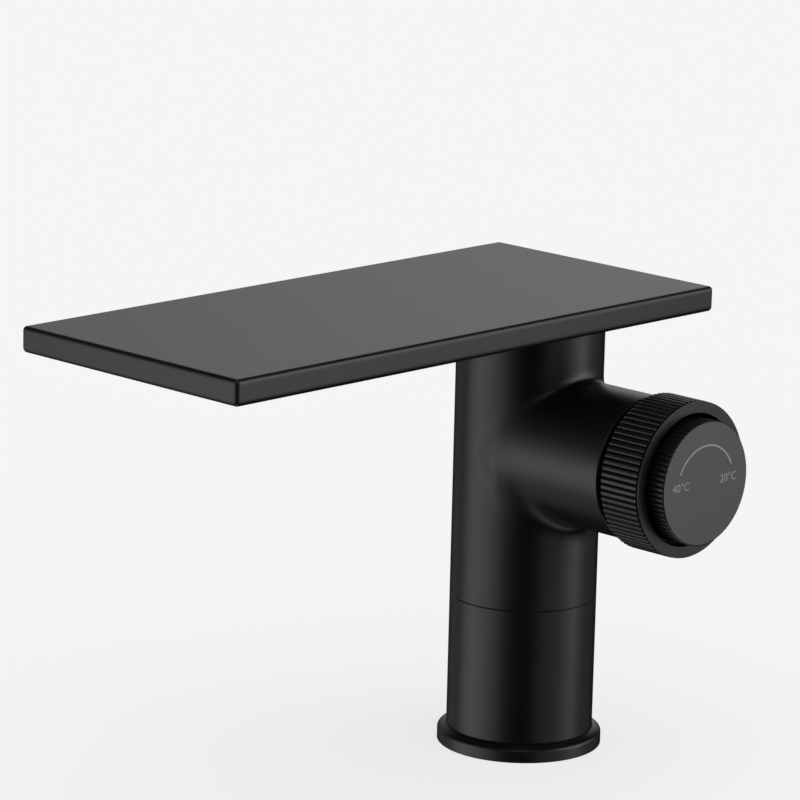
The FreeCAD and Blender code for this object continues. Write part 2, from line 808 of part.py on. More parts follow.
keep(gland_ring("spindle_seal", "spindle_radius - seal_depth", "spindle_bore", "spindle_seal_station"))
keep(gland_ring("drum_seal", "neck_radius - seal_depth", "collar_bore", "collar_middle"))
keep(gland_ring("housing_seal", "collar_radius - seal_depth", "branch_bore", "collar_middle"))

drum_core = turned("drum_core", [
    ("drum_bore", "drum_back"),
    ("drum_radius", "drum_back"),
    ("drum_radius", "drum_front"),
    ("neck_radius", "drum_front"),
    *groove_points("neck_radius", "neck_radius - seal_depth", "collar_middle", "seal_groove"),
    ("neck_radius", "web_back"),
    ("neck_root", "web_back"),
    ("neck_root", "clip_back"),
    ("clip_radius", "clip_back"),
    ("clip_radius", "clip_front"),
    ("neck_root", "clip_front"),
    ("neck_root", "neck_end"),
    ("spindle_bore", "neck_end"),
    ("spindle_bore", "drum_ceiling"),
    ("drum_bore", "drum_ceiling"),
])
drum_windows = block("drum_windows", "-housing_radius", "-window_width / 2", "window_back",
                     "2 * housing_radius", "window_width", "window_length")
drum_cup = cut("drum_cup", drum_core, [drum_windows])
drum_spline = fluted_bar("drum_spline", "neck_radius", "spline_depth", "spline_count",
                         "spline_land_share", "web_back", "web_front", bore="clip_radius")
keep(along_branch(join("flow_drum", [drum_cup, drum_spline])))

housing_blank = turned("housing_blank", [
    ("housing_bore", "seat_front"),
    ("housing_radius", "seat_front"),
    ("housing_radius", "collar_back"),
    ("collar_radius", "collar_back"),
    *groove_points("collar_radius", "collar_radius - seal_depth", "collar_middle", "seal_groove"),
    ("collar_radius", "collar_front"),
    ("collar_bore", "collar_front"),
    ("collar_bore", "collar_back"),
    ("housing_bore", "collar_back"),
])
housing_windows = block("housing_windows", "-window_width / 2", "-branch_radius", "window_back",
                        "window_width", "2 * branch_radius", "window_length")
keep(along_branch(cut("valve_housing", housing_blank, [housing_windows])))

nut_blank = turned("nut_blank", [
    ("nut_bore", "collar_front"),
    ("collar_radius", "collar_front"),
    ("collar_radius", "branch_end"),
    ("nut_head_radius", "branch_end"),
    ("nut_head_radius", "nut_head_front"),
    ("nut_bore", "nut_head_front"),
])
nut_slots = [
    block("nut_slot_upright", "-branch_radius", "-nut_slot_width / 2", "nut_head_front - nut_slot_depth",
          "2 * branch_radius", "nut_slot_width", "nut_slot_depth + cut_overrun"),
    block("nut_slot_level", "-nut_slot_width / 2", "-branch_radius", "nut_head_front - nut_slot_depth",
          "nut_slot_width", "2 * branch_radius", "nut_slot_depth + cut_overrun"),
]
keep(along_branch(cut("retaining_nut", nut_blank, nut_slots)))

keep(along_branch(turned("slip_washer", tube_section(
    "nut_bore", "nut_head_radius - washer_inset", "nut_head_front", "washer_front"))))


# Controls: outer flow ring, its clip, inner temperature knob

ring_blank = turned("ring_blank", [
    ("spindle_radius", "web_back"),
    ("relief_bore", "web_back"),
    ("relief_bore", "ring_back"),
    ("relief_radius", "ring_back"),
    ("relief_radius", "relief_front"),
    ("ring_radius", "relief_front"),
    ("ring_radius", "ring_front - ring_chamfer"),
    ("ring_radius - ring_chamfer", "ring_front"),
    ("recess_radius", "ring_front"),
    ("recess_radius", "web_front"),
    ("spindle_radius", "web_front"),
])
ring_flutes = fluted_bar("ring_flutes", "ring_radius", "ring_flute_depth", "ring_flute_count",
                         "flute_land_share", "ring_back - cut_overrun", "ring_front + cut_overrun")
ring_socket = fluted_bar("ring_socket", "neck_radius", "spline_depth", "spline_count",
                         "spline_land_share", "web_back - cut_overrun", "web_front + cut_overrun",
                         spare="film_gap")
fluted_ring = overlap("fluted_ring", ring_blank, ring_flutes)
keep(along_branch(cut("flow_ring", fluted_ring, [ring_socket])))

keep(along_branch(turned("ring_clip", tube_section(
    "clip_radius + film_gap", "neck_radius + clip_height",
    "clip_back + film_gap / 2", "clip_front - film_gap / 2"), "clip_angle")))

knob_blank = turned("knob_blank", [
    ("0", "boss_back"),
    ("knob_boss_radius", "boss_back"),
    ("knob_boss_radius", "knob_ceiling"),
    ("knob_cavity", "knob_ceiling"),
    ("knob_cavity", "knob_back"),
    ("knob_radius", "knob_back"),
    ("knob_radius", "knob_front - knob_chamfer"),
    ("knob_radius - knob_chamfer", "knob_front"),
    ("0", "knob_front"),
])
knob_flutes = fluted_bar("knob_flutes", "knob_radius", "knob_flute_depth", "knob_flute_count",
                         "flute_land_share", "knob_back - cut_overrun", "knob_front + cut_overrun")
knob_socket = fluted_bar("knob_socket", "spindle_radius", "spline_depth", "spline_count",
                         "spline_land_share", "boss_back - cut_overrun", "spindle_end + film_gap",
                         spare="film_gap")
grub_hole = rod("grub_hole", "grub_radius + film_gap", "knob_radius", "0", "0", "grub_station")
turn(grub_hole, FreeCAD.Vector(0, 1, 0), QUARTER_TURN)
shift(grub_hole, z="grub_station")


def dial_ring(label):
    """The arc on the knob's face, open at the bottom."""
    return turned(label, tube_section(
        "-dial_outer", "-dial_inner", "knob_front - dial_depth", "knob_front"), "dial_angle")


fluted_knob = overlap("fluted_knob", knob_blank, knob_flutes)
keep(along_branch(cut("temperature_knob", fluted_knob,
                      [knob_socket, grub_hole, dial_ring("dial_groove")])))
keep(along_branch(dial_ring("dial_arc")))

grub_blank = rod("grub_blank", "grub_radius", "grub_length")
turn(grub_blank, FreeCAD.Vector(0, 1, 0), QUARTER_TURN)
shift(grub_blank, x="grub_start", z="grub_station")
grub_key = hexagon("grub_key", "grub_radius * grub_socket_share", "grub_length")
turn(grub_key, FreeCAD.Vector(0, 1, 0), QUARTER_TURN)
shift(grub_key, x="grub_start + grub_length / 2", z="grub_station")
keep(along_branch(cut("knob_grub_screw", grub_blank, [grub_key])))


# Spout: nipple with nut and seal, shell, floor, gasket and screws

keep(turned("spout_nipple", [
    ("socket_radius", "nipple_bottom"),
    ("nipple_radius", "nipple_bottom"),
    ("nipple_radius", "floor_level"),
    ("nipple_radius + nipple_flange", "floor_level"),
    ("nipple_radius + nipple_flange", "floor_level + nipple_flange_height"),
    ("socket_radius", "floor_level + nipple_flange_height"),
]))

nut_bar = hexagon("nut_bar", "nipple_radius + nut_wall", "nut_height", z="column_ceiling - nut_height")
nut_hole = rod("nut_hole", "nipple_radius + film_gap", "nut_height + 2 * cut_overrun",
               z="column_ceiling - nut_height - cut_overrun")
keep(cut("spout_nut", nut_bar, [nut_hole]))

keep(seal_ring("spout_seal", "spout_seal_inner + seal_section / 2 + fit_clearance",
               z="column_top - seal_section / 2"))

keep(rod("locating_pin", "pin_radius", "pin_depth + pin_floor_depth - film_gap",
         y="pin_circle", z="column_top - pin_depth"))

BOSSES = [(x, y) for x in ("-boss_side", "boss_side")
          for y in ("boss_front", "(boss_front + boss_rear) / 2", "boss_rear")]


def level_edge_at(place):
    """A test for the edges that lie at one height."""
    level = measure(place)
    slack = measure("film_gap")
    return lambda edge: all(abs(vertex.Point.z - level) < slack for vertex in edge.Vertexes)


def upright_edge(edge):
    """A test for straight upright edges."""
    if edge.Curve.TypeId != "Part::GeomLine":
        return False
    low, high = (vertex.Point for vertex in edge.Vertexes)
    return math.hypot(high.x - low.x, high.y - low.y) < measure("film_gap")


def plate_sketch(body, name, inset, height="0"):
    """The plate's outline drawn in by an inset."""
    sketch = sketch_on(body, name, "XY_Plane", height)
    rectangle(sketch, f"{inset} - plate_half", f"plate_half - ({inset})",
              f"{inset} - plate_reach", f"plate_rear - ({inset})")
    return sketch


shell = keep(doc.addObject("PartDesign::Body", "spout_shell"))
shift(shell, z="column_top")
shell_outline = sketch_on(shell, "shell_outline", "XY_Plane")
rectangle(shell_outline, "-plate_half", "plate_half", "-plate_reach", "plate_rear")
extrude(shell, "Pad", shell_outline, "plate_thickness")
dress(shell, "Fillet", upright_edge, "plate_corner_radius")
dress(shell, "Fillet", level_edge_at("plate_thickness"), "plate_edge_radius")
dress(shell, "Fillet", level_edge_at("0"), "plate_edge_radius")
extrude(shell, "Pocket", plate_sketch(shell, "floor_recess", "plate_rim"), "floor_top", reverse=True)
extrude(shell, "Pocket", plate_sketch(shell, "water_chamber", "plate_rim + plate_ledge"),
        "chamber_top", reverse=True)
shell_bosses = sketch_on(shell, "shell_bosses", "XY_Plane", "floor_thickness")
screw_pilots = sketch_on(shell, "screw_pilots", "XY_Plane", "floor_thickness")
for x, y in BOSSES:
    circle(shell_bosses, "boss_radius", x, y)
    circle(screw_pilots, "screw_radius + film_gap", x, y)
extrude(shell, "Pad", shell_bosses, "chamber_top - floor_thickness + plate_skin / 2")
extrude(shell, "Pocket", screw_pilots, "screw_length - floor_thickness + fit_clearance", reverse=True)

floor_blank = doc.addObject("PartDesign::Body", "floor_blank")
extrude(floor_blank, "Pad", plate_sketch(floor_blank, "floor_outline", "plate_rim + fit_clearance"),
        "floor_thickness")
floor_tools = [
    rod("nipple_hole", "nipple_radius + fit_clearance", "floor_thickness + 2 * cut_overrun",
        z="-cut_overrun"),
    rod("pin_socket", "pin_radius + film_gap", "pin_floor_depth + cut_overrun",
        y="pin_circle", z="-cut_overrun"),
    block("outlet_slit", "-slit_length / 2", "-slit_front", "-cut_overrun",
          "slit_length", "slit_width", "floor_thickness + 2 * cut_overrun"),
]
floor_screws = []
for number, (x, y) in enumerate(BOSSES, start=1):
    hole = turned(f"screw_hole_{number}", [
        ("0", "0"),
        ("screw_head_radius + film_gap", "0"),
        ("screw_radius + film_gap", "screw_head_height"),
        ("screw_radius + film_gap", "floor_thickness + cut_overrun"),
        ("0", "floor_thickness + cut_overrun"),
    ])
    shift(hole, x, y)
    floor_tools.append(hole)
    blank = turned(f"screw_blank_{number}", [
        ("0", "0"),
        ("screw_head_radius", "0"),
        ("screw_radius", "screw_head_height"),
        ("screw_radius", "screw_length"),
        ("0", "screw_length"),
    ])
    shift(blank, x, y)
    key = hexagon(f"screw_key_{number}", "screw_head_radius * screw_socket_share", "screw_head_height", x, y)
    floor_screws.append(cut(f"floor_screw_{number}", blank, [key]))
floor_plate = keep(cut("spout_floor", floor_blank, floor_tools))
shift(floor_plate, z="column_top")
screws = keep(group("floor_screws", floor_screws))
shift(screws, z="column_top")

gasket = keep(doc.addObject("PartDesign::Body", "floor_gasket"))
shift(gasket, z="column_top")
extrude(gasket, "Pad", plate_sketch(gasket, "gasket_outline", "plate_rim + fit_clearance", "floor_thickness"),
        "floor_gasket_height")
extrude(gasket, "Pocket", plate_sketch(gasket, "gasket_opening", "plate_rim + plate_ledge", "floor_thickness"),
        "floor_gasket_height", reverse=True)


# Check every object, then write one STEP file for each node

doc.recompute()
for thing in doc.Objects:
    if "Invalid" in thing.State or "Error" in thing.State:
        raise RuntimeError(f"{thing.Label}: {thing.State}")
os.makedirs("parts", exist_ok=True)
for thing in nodes:
    shape = thing.Shape
    if shape.isNull() or not shape.isValid() or not shape.Solids:
        raise RuntimeError(f"{thing.Label}: no valid solid")
    shape.exportStep(f"parts/{thing.Label}.step")
    box = shape.BoundBox
    print(f"{thing.Label:20s} {len(shape.Solids):2d} solids {shape.Volume:10.1f} mm3 "
          f"x {box.XMin:7.2f} {box.XMax:7.2f}  y {box.YMin:8.2f} {box.YMax:7.2f}  "
          f"z {box.ZMin:7.2f} {box.ZMax:7.2f}")
print(len(nodes), "nodes")
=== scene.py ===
# %% [markdown]
# # A matte black basin mixer
# The frame holds every piece of the tap at its real size. This lesson dresses it: smooth
# turned and fluted skins for the pieces that catch the light, a finish for every material,
# and a small studio with a camera.

import json
import math

import bmesh
import bpy
import numpy as np
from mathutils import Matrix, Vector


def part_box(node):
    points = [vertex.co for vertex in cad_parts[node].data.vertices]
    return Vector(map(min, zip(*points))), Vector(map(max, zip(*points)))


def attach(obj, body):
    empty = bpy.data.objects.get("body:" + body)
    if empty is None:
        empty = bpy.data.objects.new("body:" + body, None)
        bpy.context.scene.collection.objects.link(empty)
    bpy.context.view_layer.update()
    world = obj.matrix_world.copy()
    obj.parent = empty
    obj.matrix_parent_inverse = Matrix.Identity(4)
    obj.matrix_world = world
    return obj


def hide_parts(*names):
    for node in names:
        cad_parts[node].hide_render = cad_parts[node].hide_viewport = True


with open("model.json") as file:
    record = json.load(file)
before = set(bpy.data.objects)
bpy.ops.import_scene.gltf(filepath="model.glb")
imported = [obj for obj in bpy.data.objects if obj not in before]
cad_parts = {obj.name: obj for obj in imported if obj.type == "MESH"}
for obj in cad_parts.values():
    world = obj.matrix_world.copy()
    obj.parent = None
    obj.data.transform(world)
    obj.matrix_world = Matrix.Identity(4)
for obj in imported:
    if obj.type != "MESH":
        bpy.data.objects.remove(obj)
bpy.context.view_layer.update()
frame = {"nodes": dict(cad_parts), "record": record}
nodes = frame["nodes"]
print(len(nodes), "pieces in the frame")

# %% [markdown]
# ## Sizes
# Blender works in metres. The tap's sizes are easier to read in millimetres, so they are
# written that way and multiplied once. Places come from the boxes of the frame's pieces:
# a skin then fits its piece even if that piece changes.

# %% Millimetres and boxes
MM = 0.001


def low(node):
    """Lowest corner of a piece of the frame, in millimetres."""
    return np.array(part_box(node)[0]) / MM


def high(node):
    """Highest corner of a piece of the frame, in millimetres."""
    return np.array(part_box(node)[1]) / MM


branch_height = (low("flow_ring")[2] + high("flow_ring")[2]) / 2
print("control axis", round(branch_height, 2), "mm above the deck")

# %% [markdown]
# ## Colours and node helpers
# A colour picked from a screen is sRGB, and shaders want linear light. One function does
# that step. Another adds a node, sets its values and links its inputs, so that each
# material below reads as a short list. Node trees could be drawn by hand in the Shader
# Editor, but a list is easier to read, to compare and to change.

# %% Helpers for materials
SRGB_KNEE, SRGB_SLOPE, SRGB_LIFT, SRGB_POWER = 0.04045, 12.92, 0.055, 2.4
GRAIN_DETAIL = 3.0


def linear(code):
    """Linear RGBA of an sRGB hex colour: the standard curve, channel by channel."""
    srgb = np.array([int(code[i:i + 2], 16) for i in (1, 3, 5)]) / 255
    curve = ((srgb + SRGB_LIFT) / (1 + SRGB_LIFT)) ** SRGB_POWER
    return (*np.where(srgb <= SRGB_KNEE, srgb / SRGB_SLOPE, curve).tolist(), 1.0)


def add(tree, kind, inputs=(), **settings):
    """A new node with its settings. An input is a value, or a socket to link from."""
    node = tree.nodes.new(kind)
    for name, value in settings.items():
        setattr(node, name, value)
    for key, value in dict(inputs).items():
        if isinstance(value, bpy.types.NodeSocket):
            tree.links.new(value, node.inputs[key])
        else:
            node.inputs[key].default_value = value
    return node


def finish(name, colour, roughness, metallic=0.0, **sockets):
    """A new material with one Principled shader, its tree and the shader."""
    material = bpy.data.materials.new(name)
    material.use_nodes = True
    tree = material.node_tree
    shader = tree.nodes["Principled BSDF"]
    shader.inputs["Base Color"].default_value = linear(colour)
    shader.inputs["Roughness"].default_value = roughness
    shader.inputs["Metallic"].default_value = metallic
    for key, value in sockets.items():
        shader.inputs[key.replace("_", " ")].default_value = value
    return material, tree, shader


def grain(tree, shader, size_mm, depth_mm, roughness, spread):
    """Fine grain from one noise: it lifts the surface and varies its roughness a little."""
    place = add(tree, "ShaderNodeTexCoord")
    noise = add(tree, "ShaderNodeTexNoise", {
        "Vector": place.outputs["Object"], "Scale": 1 / (size_mm * MM), "Detail": GRAIN_DETAIL})
    lift = add(tree, "ShaderNodeBump", {
        "Height": noise.outputs["Fac"], "Distance": depth_mm * MM, "Strength": 1.0})
    vary = add(tree, "ShaderNodeMapRange", {
        "Value": noise.outputs["Fac"], "To Min": roughness - spread, "To Max": roughness + spread})
    tree.links.new(lift.outputs["Normal"], shader.inputs["Normal"])
    tree.links.new(vary.outputs["Result"], shader.inputs["Roughness"])


# %% [markdown]
# ## Finishes
# The outside is brass with a matte black coat, sprayed and baked. Such a coat has almost no
# colour of its own: what the eye sees is its broad soft sheen. So the colour stays nearly
# black, and the index of refraction, a little above that of a plain lacquer, sets how much
# of the studio it mirrors. Inside there are machined brass, steel, rubber, moulded plastic
# and lapped ceramic, each at values typical for it. Real grain of these kinds is finer than
# the picture can show, so each is drawn as coarse as it needs to be to show at all.

# %% Black coats
COAT_ROUGHNESS, COAT_GRAIN = 0.36, 0.45
# Baked black coat: a wide dull sheen. Its orange peel is drawn coarser than it is, to show.
black_coat, tree, shader = finish("matte_black_coat", "#080809", COAT_ROUGHNESS, IOR=1.68)
grain(tree, shader, COAT_GRAIN, depth_mm=0.002, roughness=COAT_ROUGHNESS, spread=0.04)
# Satin graphite coat on the knob's face: a lighter grey with a slightly stronger sheen.
knob_face, tree, shader = finish("satin_graphite_face", "#3E3E40", COAT_ROUGHNESS, IOR=1.82)
grain(tree, shader, COAT_GRAIN, depth_mm=0.002, roughness=COAT_ROUGHNESS, spread=0.04)
# Steel screws, blackened in a hot bath: a dark metal that glints in small spots.
black_screw, tree, shader = finish("black_oxide_steel", "#141416", 0.38, metallic=0.6)
grain(tree, shader, size_mm=0.3, depth_mm=0.004, roughness=0.38, spread=0.06)
print("outside:", black_coat.name, knob_face.name, black_screw.name)

# %% Inside metals
# Machined brass: warm yellow with fine, uneven tool marks.
brass, tree, shader = finish("machined_brass", "#C29B52", 0.28, metallic=1.0)
grain(tree, shader, size_mm=0.6, depth_mm=0.004, roughness=0.28, spread=0.08)
# Plain rolled steel: a cool pale grey with a soft shine.
steel, tree, shader = finish("plain_steel", "#B9BABC", 0.3, metallic=1.0)
grain(tree, shader, size_mm=0.5, depth_mm=0.003, roughness=0.3, spread=0.06)
print("metals:", brass.name, steel.name)

# %% Rubber, plastic, ceramic and print
# Moulded seal rubber: a dull charcoal that hardly shines.
rubber, tree, shader = finish("seal_rubber", "#1B1B1C", 0.75)
grain(tree, shader, size_mm=0.5, depth_mm=0.01, roughness=0.75, spread=0.08)
# Moulded acetal: warm white and waxy.
valve_plastic, tree, shader = finish("acetal_plastic", "#E2E0DA", 0.45)
grain(tree, shader, size_mm=0.4, depth_mm=0.004, roughness=0.45, spread=0.05)
# Lapped alumina: ivory white, smooth enough for a clear shine.
ceramic, tree, shader = finish("lapped_alumina", "#EDE9E0", 0.22)
grain(tree, shader, size_mm=0.2, depth_mm=0.001, roughness=0.22, spread=0.04)
# Pad-printed ink on the dial: a flat mid grey.
dial_paint, tree, shader = finish("grey_dial_print", "#9E9E9E", 0.5)
grain(tree, shader, size_mm=0.2, depth_mm=0.002, roughness=0.5, spread=0.05)
print("others:", rubber.name, valve_plastic.name, ceramic.name, dial_paint.name)

# %% Give every piece of the frame its finish
BY_SLOT = {
    "black_metal": black_coat, "black_steel": black_screw, "brass": brass, "steel": steel,
    "rubber": rubber, "valve_plastic": valve_plastic, "slip_plastic": valve_plastic,
    "ceramic": ceramic, "dial_paint": dial_paint,
}
for entry in frame["record"]["subparts"]:
    mesh = nodes[entry["node"]].data
    mesh.materials.clear()
    mesh.materials.append(BY_SLOT[entry["material_slot"]])
print("slots:", ", ".join(sorted(BY_SLOT)))

# %% [markdown]
# ## Surfaces from grids
# Every new skin is a grid of points worked out as whole arrays. Modifiers could round and
# spin simple shapes too, but a grid keeps each size in plain sight. Neighbouring points make
# quads, and the ends are closed with one flat face. Points that fall together are welded,
# and all faces are turned outwards. Points on a round edge share smooth normals, and edges
# sharper than a limit stay crisp.

# %% Mesh helpers
CRISP = math.radians(32)
WELD = 0.001


def strips(numbers, closed=True):
    """Quads between neighbouring rows of point numbers, each row a loop or an open line."""
    beside = np.roll(numbers, -1, axis=1)
    quads = np.stack([numbers[:-1], beside[:-1], beside[1:], numbers[1:]], axis=-1)
    return quads[:, :None if closed else -1].reshape(-1, 4).tolist()


def tidy_mesh(mesh):
    """Welds points that fall together and turns all faces outwards."""
    shape = bmesh.new()
    shape.from_mesh(mesh)
    bmesh.ops.remove_doubles(shape, verts=shape.verts, dist=WELD * MM)
    bmesh.ops.recalc_face_normals(shape, faces=shape.faces)
    shape.to_mesh(mesh)
    shape.free()


def in_scene(name, data):
    """A new object in the scene, at the origin, unturned and unscaled."""
    thing = bpy.data.objects.new(name, data)
    bpy.context.scene.collection.objects.link(thing)
    return thing


def solid_piece(name, points, faces, material, body, replaced):
    """A closed mesh from points in millimetres and faces, riding on a body."""
    mesh = bpy.data.meshes.new(name)
    mesh.from_pydata((points * MM).tolist(), [], faces)
    tidy_mesh(mesh)
    mesh.polygons.foreach_set("use_smooth", np.ones(len(mesh.polygons), dtype=bool))
    mesh.set_sharp_from_angle(angle=CRISP)
    mesh.materials.append(material)
    piece = in_scene(name, mesh)
    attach(piece, body)
    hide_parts(*replaced)
    print(name, len(mesh.polygons), "faces")
    return mesh


def new_piece(name, grid, material, body, replaced, wrap_rows=False):
    """A closed mesh from a grid of points, its open ends closed with flat faces."""
    numbers = np.arange(grid.shape[0] * grid.shape[1]).reshape(grid.shape[:2])
    if wrap_rows:
        faces = strips(np.concatenate([numbers, numbers[:1]]))
    else:
        faces = strips(numbers) + [numbers[0].tolist(), numbers[-1].tolist()]
    return solid_piece(name, grid.reshape(-1, 3), faces, material, body, replaced)


# %% Rounded profiles
FLAT_SHARE = 1.3


def rounded(corners, radius, steps):
    """A run of corner points with each marked corner rounded.

    A corner is (along, out, share): its share of the radius is set back along both sides,
    and a quadratic Bezier curve between the two set-back points, with the corner as its
    middle point, replaces it. A point a little further out on each side keeps the flats
    beside the curve evenly lit.
    """
    flat = np.array([corner[:2] for corner in corners], dtype=float)
    run = []
    count = len(corners)
    blend = np.linspace(0, 1, steps)[:, None]
    for i, (_, _, share) in enumerate(corners):
        if share == 0:
            run.append(flat[i:i + 1])
            continue
        before = flat[i - 1] - flat[i]
        after = flat[(i + 1) % count] - flat[i]
        start = before / np.linalg.norm(before) * radius * share
        end = after / np.linalg.norm(after) * radius * share
        curve = (1 - blend) ** 2 * start + blend ** 2 * end
        run.append(flat[i] + np.concatenate([[FLAT_SHARE * start], curve, [FLAT_SHARE * end]]))
    return np.concatenate(run)


# %% [markdown]
# ## Upper body
# Column and branch are cast in one, and the hand feels no edge where they meet. A Boolean
# with a bevel could join two cylinders, but its faces are uneven along the joint and show in
# the sheen. Here each is a distance: how far a point lies outside the column, and outside
# the branch. The smaller of the two would give a sharp joint, and a smooth minimum rounds
# it. The same skin, a wall smaller, makes the inside, and rings join the two skins at the
# three open ends.

# %% Distance from the tee
BLEND_ABOVE, BLEND_BELOW, BLEND_LENGTH = 4.5, 8.0, 9.0
FLARE_LENGTH = 18.0
SEARCH_IN, SEARCH_OUT, SEARCH_ROUNDS = 3.0, 6.0, 40


def ease(share):
    """A smooth step from 0 to 1 with level ends."""
    share = np.clip(share, 0, 1)
    return share * share * (3 - 2 * share)


def tee_distance(x, y, z, column, branch, softness):
    """Distance outside a column along Z and a branch along +X with a round inner end.

    The branch flares to the column's radius where its axis meets the column's, so the two
    touch without a step at the sides. The distance is the smaller of the two, less a cubic
    where they differ by under a width. The width is zero in the column's middle plane, grows
    further out and is larger below the branch than above it.
    """
    height = (z - branch_height) / branch
    width = softness * ease(x / BLEND_LENGTH) * (
        BLEND_BELOW + (BLEND_ABOVE - BLEND_BELOW) * ease((height + 1) / 2))
    from_column = np.hypot(x, y) - column
    off_axis = np.sqrt(np.minimum(x, 0) ** 2 + y ** 2 + (z - branch_height) ** 2)
    from_branch = off_axis - column + (column - branch) * ease(x / FLARE_LENGTH)
    overlap = np.clip(width - np.abs(from_column - from_branch), 0, None)
    joint = overlap ** 3 / (6 * np.maximum(width, WELD) ** 2)
    return np.minimum(from_column, from_branch) - joint


def settled(place, start, sizes):
    """Points where the tee distance is zero, found by halving an interval round the start."""
    inside, outside = start - SEARCH_IN, start + SEARCH_OUT
    for _ in range(SEARCH_ROUNDS):
        middle = (inside + outside) / 2
        clear = tee_distance(*place(middle), *sizes) > 0
        inside, outside = np.where(clear, inside, middle), np.where(clear, middle, outside)
    return np.stack(place((inside + outside) / 2), axis=-1)


# %% Grids of the tee
AROUND, MOUTH_ROWS, ARM_ROWS, BACK_COLUMNS = 192, 36, 28, 64
FRAME_TURN = math.radians(110)
SIDE = np.arange(AROUND // 8, 3 * AROUND // 8 + 1)
phi = np.arange(AROUND) * 2 * math.pi / AROUND
eighth = phi / (math.pi / 4)
frame_turn = np.interp(eighth, [0, 1, 3, 4, 5, 7, 8], [0, 1, 1, 0, -1, -1, 0]) * FRAME_TURN


def frame_rise(low_end, high_end):
    """Heights round a frame of four sides: level at both ends, straight between them."""
    ends = [high_end, high_end, low_end, low_end, high_end, high_end]
    return np.interp(eighth, [0, 1, 3, 5, 7, 8], ends)


def mouth_grid(sizes, low_end, high_end):
    """Points from the frame on the column's near half to the seam with the branch.

    At the seam the two cylinders are equally far. Turn and height run from the frame's to
    the seam's by a square, so rows crowd at the seam.
    """
    column, branch, _ = sizes
    seam_turn = np.arcsin(branch * np.sin(phi) / column)
    seam_rise = branch_height + branch * np.cos(phi)
    run = np.linspace(1, 0, MOUTH_ROWS)[:, None] ** 2
    turn = seam_turn + run * (frame_turn - seam_turn)
    rise = seam_rise + run * (frame_rise(low_end, high_end) - seam_rise)
    return settled(lambda out: (out * np.cos(turn), out * np.sin(turn), rise),
                   column + 0 * turn, sizes)


def arm_grid(sizes, start, reach):
    """Points from the seam to the branch's end, each line at its own turn round the branch."""
    spin = np.arctan2(start[:, 1], start[:, 2] - branch_height)
    run = np.linspace(0, 1, ARM_ROWS)[1:, None] ** 2
    along = start[:, 0] + run * (reach - start[:, 0])
    return settled(lambda out: (along, out * np.sin(spin), branch_height + out * np.cos(spin)),
                   sizes[1] + 0 * along, sizes)


def far_grid(column, low_end, high_end):
    """Points of the column's far half, between the frame's two upright sides."""
    turn = np.linspace(FRAME_TURN, 2 * math.pi - FRAME_TURN, BACK_COLUMNS + 1)[1:-1]
    rise = frame_rise(low_end, high_end)[SIDE][:, None]
    return np.stack(np.broadcast_arrays(column * np.cos(turn), column * np.sin(turn), rise),
                    axis=-1)


def tee_skin(column, branch, softness, low_end, high_end, reach):
    """Points and faces of a column with a side branch, and the loops of its three open ends."""
    sizes = (column, branch, softness)
    mouth = mouth_grid(sizes, low_end, high_end)
    arm = arm_grid(sizes, mouth[-1], reach)
    far = far_grid(column, low_end, high_end)
    near_numbers = np.arange((MOUTH_ROWS + ARM_ROWS - 1) * AROUND).reshape(-1, AROUND)
    far_numbers = near_numbers.size + np.arange(far.size // 3).reshape(far.shape[:2])
    rim = near_numbers[0]
    back = np.column_stack([rim[SIDE], far_numbers, rim[-SIDE]])
    head = np.arange(-SIDE[0], SIDE[0] + 1)
    foot = np.arange(-SIDE[-1], SIDE[-1] - AROUND - 1, -1)
    head_loop = np.concatenate([rim[head], far_numbers[0]])
    foot_loop = np.concatenate([rim[foot], far_numbers[-1]])
    points = np.concatenate([grid.reshape(-1, 3) for grid in (mouth, arm, far)])
    faces = strips(near_numbers) + strips(back, closed=False)
    return points, faces, (near_numbers[-1], head_loop, foot_loop)


# %% Skins of the upper body
BODY_WALL, TOP_WALL = 2.4, 5.0
SPIGOT_GAP, SPIGOT_STEP = 0.1, 4.0
NIPPLE_HOLE = 7.0
SEAM_CHAMFER, MOUTH_CHAMFER = 0.2, 0.3
COLUMN_RADIUS = high("lower_sleeve")[0]
BRANCH_RADIUS = 21.9
seam, body_top = high("lower_sleeve")[2], high("upper_body")[2]
spigot_end, branch_end = low("upper_body")[2], high("upper_body")[0]
bore = COLUMN_RADIUS - BODY_WALL
spigot = bore - SPIGOT_GAP
outer_points, outer_faces, outer_ends = tee_skin(
    COLUMN_RADIUS, BRANCH_RADIUS, 1, seam + SEAM_CHAMFER, body_top, branch_end - MOUTH_CHAMFER)
inner_points, inner_faces, inner_ends = tee_skin(
    bore, BRANCH_RADIUS - BODY_WALL, 0, seam + SPIGOT_STEP, body_top - TOP_WALL, branch_end)
print("outer skin", len(outer_points), "points, inner skin", len(inner_points), "points")

# %% Upper body shell
UPWARDS, OUTWARDS = np.array([0, 0, 1]), np.array([1, 0, 0])
